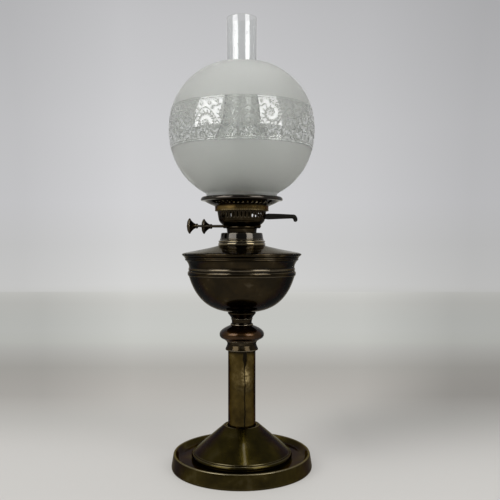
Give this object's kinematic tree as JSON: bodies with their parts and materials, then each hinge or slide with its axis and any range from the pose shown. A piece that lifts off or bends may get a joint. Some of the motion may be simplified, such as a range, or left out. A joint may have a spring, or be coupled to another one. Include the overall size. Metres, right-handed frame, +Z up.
{
  "type": "oil lamp",
  "caption": "Column oil lamp: weighted dish foot, round oil font, twin flat-wick burner with pierced gallery, extinguisher lever, bulged glass chimney and frosted globe.",
  "frame": {"origin": "centre of the foot's resting plane, on the column's axis", "axes": "+Z up the column, +X towards the extinguisher lever, -X towards the winder knobs, -Y to the front"},
  "size_m": [0.2012, 0.2012, 0.6201],
  "materials": {
    "patinated_brass": "dark bronze-brown patina over polished brass",
    "worn_brass": "patina worn back to golden brown brass",
    "cast_iron": "rough casting",
    "steel": "dulled steel",
    "clear_glass": "clear blown glass",
    "frosted_glass": "satin etched glass with a clear band",
    "cotton": "flat woven cotton wick"
  },
  "bodies": {
    "lamp_stand": {"base_dish": "patinated_brass", "base_cone": "patinated_brass", "base_weight": "cast_iron", "tie_rod": "steel", "rod_washer": "steel", "rod_nut": "steel", "column_tube": "worn_brass", "column_collar": "worn_brass", "knop": "patinated_brass", "font_socket": "patinated_brass", "font_bowl": "patinated_brass", "font_cover": "patinated_brass", "font_collar": "worn_brass"},
    "burner": {"bayonet_cap": "patinated_brass", "burner_cup": "patinated_brass", "burner_deck": "patinated_brass", "wick_tube_front": "patinated_brass", "wick_tube_back": "patinated_brass", "shaft_bush_front_left": "patinated_brass", "shaft_bush_front_right": "patinated_brass", "shaft_bush_back_left": "patinated_brass", "shaft_bush_back_right": "patinated_brass", "lever_bracket": "steel", "lever_pin": "steel"},
    "winder_front": {"winder_shaft_front": "steel", "winder_knob_front": "patinated_brass", "winder_wheel_front_left": "steel", "winder_wheel_front_right": "steel"},
    "winder_back": {"winder_shaft_back": "steel", "winder_knob_back": "patinated_brass", "winder_wheel_back_left": "steel", "winder_wheel_back_right": "steel"},
    "wick_front": {"wick_front": "cotton"},
    "wick_back": {"wick_back": "cotton"},
    "lever": {"extinguisher_lever": "patinated_brass"},
    "snuffer": {"snuffer": "patinated_brass"},
    "gallery": {"gallery": "worn_brass", "chimney_springs": "steel", "flame_dome": "patinated_brass"},
    "chimney": {"chimney": "clear_glass"},
    "globe": {"globe": "frosted_glass"}
  },
  "joints": [
    {"name": "burner_twist", "type": "hinge", "parent": "lamp_stand", "child": "burner", "pos_m": [0, 0, 0.3136], "axis": [0, 0, 1], "range_deg": [0, 30]},
    {"name": "winder_front_turn", "type": "hinge", "parent": "burner", "child": "winder_front", "pos_m": [0, -0.0117, 0.3327], "axis": [1, 0, 0], "range_deg": [-104, 156]},
    {"name": "wick_front_feed", "type": "slide", "parent": "burner", "child": "wick_front", "axis": [0, 0, 1], "range_m": [-0.008, 0.012]},
    {"name": "winder_back_turn", "type": "hinge", "parent": "burner", "child": "winder_back", "pos_m": [0, 0.0117, 0.3327], "axis": [1, 0, 0], "range_deg": [-156, 104]},
    {"name": "wick_back_feed", "type": "slide", "parent": "burner", "child": "wick_back", "axis": [0, 0, 1], "range_m": [-0.008, 0.012]},
    {"name": "lever_turn", "type": "hinge", "parent": "burner", "child": "lever", "pos_m": [0.026, 0, 0.3462], "axis": [0, 1, 0], "range_deg": [0, 18]},
    {"name": "snuffer_lift", "type": "slide", "parent": "burner", "child": "snuffer", "axis": [0, 0, 1], "range_m": [0, 0.005]},
    {"name": "gallery_lift", "type": "slide", "parent": "burner", "child": "gallery", "axis": [0, 0, 1], "range_m": [0, 0.04]},
    {"name": "chimney_lift", "type": "slide", "parent": "gallery", "child": "chimney", "axis": [0, 0, 1], "range_m": [0, 0.19]},
    {"name": "globe_lift", "type": "slide", "parent": "gallery", "child": "globe", "axis": [0, 0, 1], "range_m": [0, 0.256]}
  ],
  "couplings": [
    {"joint": "wick_front_feed", "follows": "winder_front_turn", "m_per_rad": 0.0044},
    {"joint": "wick_back_feed", "follows": "winder_back_turn", "m_per_rad": -0.0044},
    {"joint": "snuffer_lift", "follows": "lever_turn", "m_per_rad": 0.0155}
  ]
}
